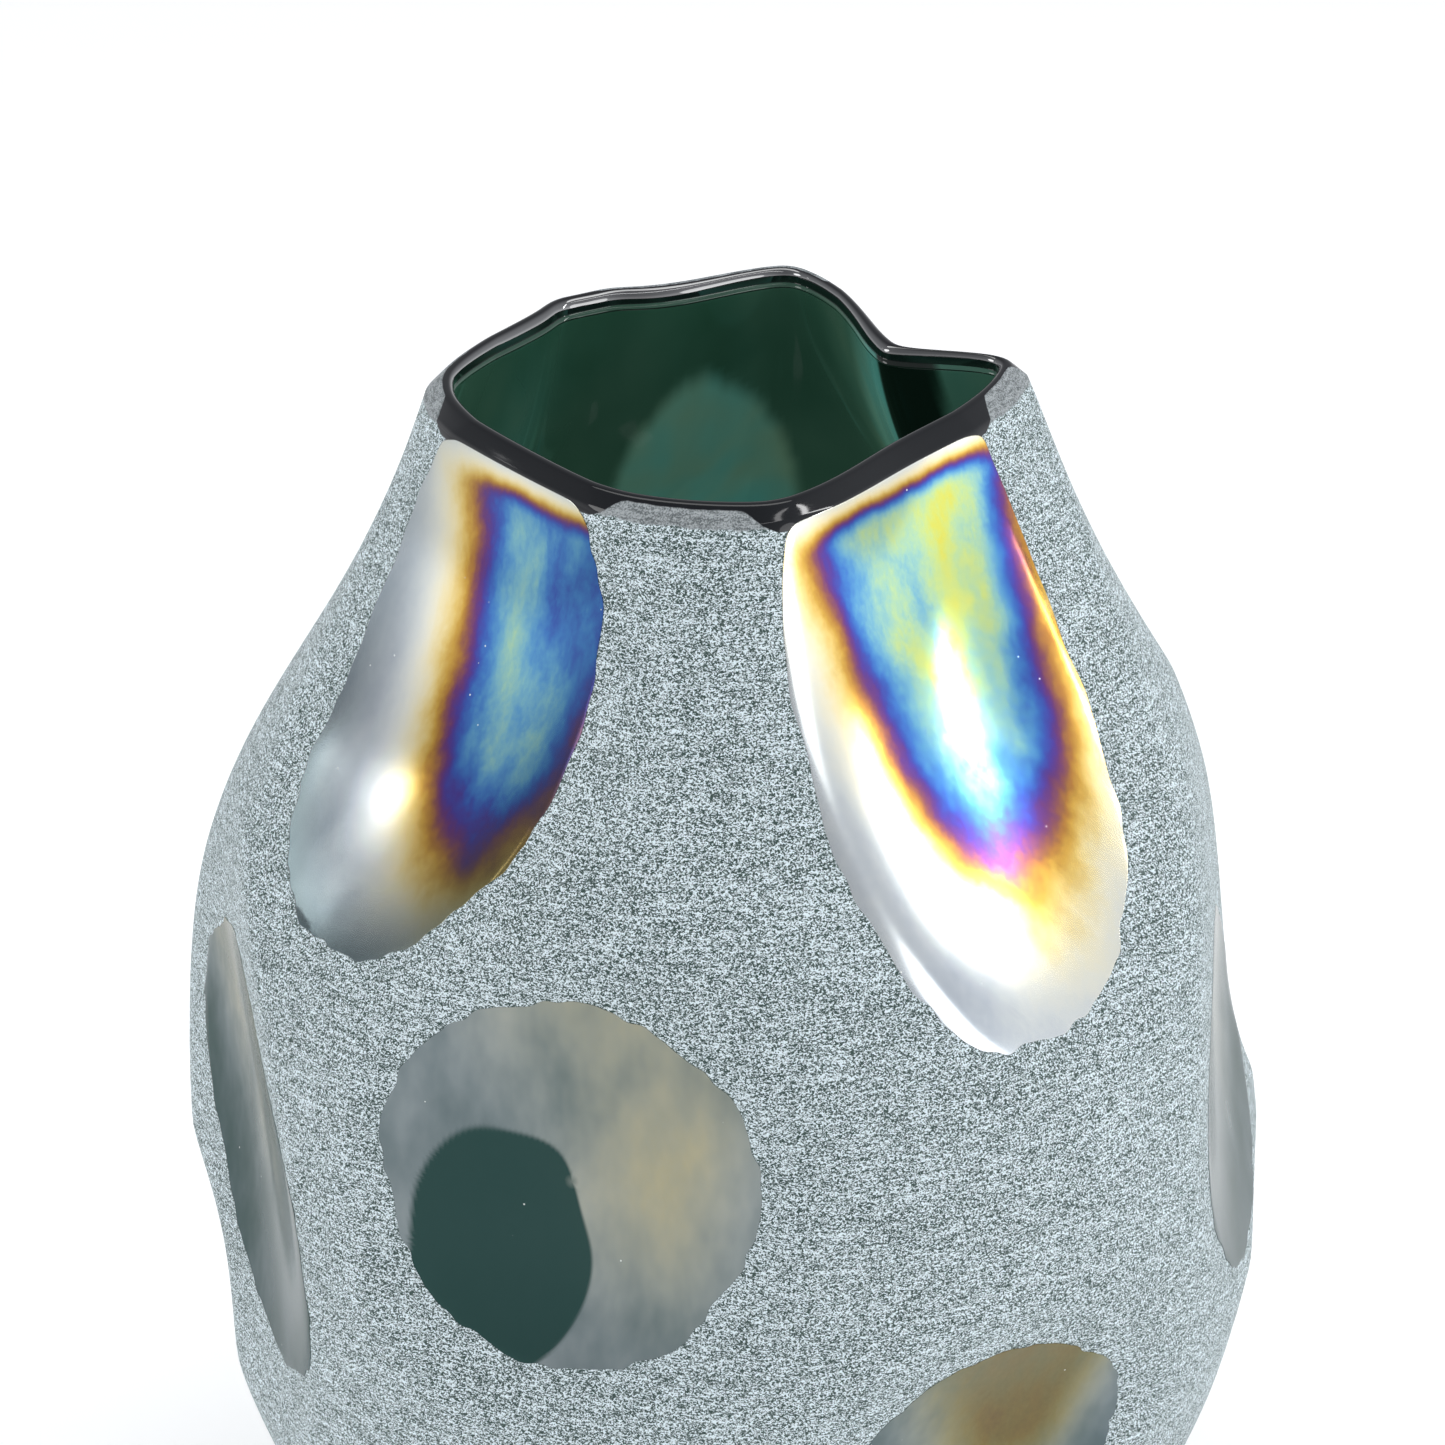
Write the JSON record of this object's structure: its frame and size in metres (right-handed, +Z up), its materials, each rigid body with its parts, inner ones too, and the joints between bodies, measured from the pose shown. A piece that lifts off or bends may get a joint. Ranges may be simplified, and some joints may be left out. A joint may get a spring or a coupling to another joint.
{
  "type": "glass vase",
  "caption": "Hand blown art glass vase with a pinched wavy mouth, a ground matt body and iridescent lustre left in pressed hollows.",
  "frame": {"origin": "middle of the flat ground base, on the surface that the vase stands on", "axes": "+Z up through the mouth, -Y towards the front, which has the two long lustre hollows, +X to the right as seen from the front"},
  "size_m": [0.2573, 0.2579, 0.3302],
  "materials": {
    "ground_glass": "coarsely ground matt silver grey over dark green glass, with a polished near black lip",
    "green_glass": "glossy deep bottle green",
    "lustre": "glossy metallic lustre film with blue, purple, gold and silver interference colours"
  },
  "bodies": {
    "root": {"outer_casing": "ground_glass", "inner_bubble": "green_glass", "lustre_upper_left": "lustre", "lustre_upper_right": "lustre", "lustre_upper_back_right": "lustre", "lustre_upper_back": "lustre", "lustre_upper_back_left": "lustre", "lustre_middle_front": "lustre", "lustre_middle_left": "lustre", "lustre_middle_right": "lustre", "lustre_middle_back_right": "lustre", "lustre_middle_back": "lustre", "lustre_middle_back_left": "lustre", "lustre_lower_front": "lustre", "lustre_lower_left": "lustre", "lustre_lower_right": "lustre", "lustre_lower_back": "lustre"}
  },
  "joints": []
}
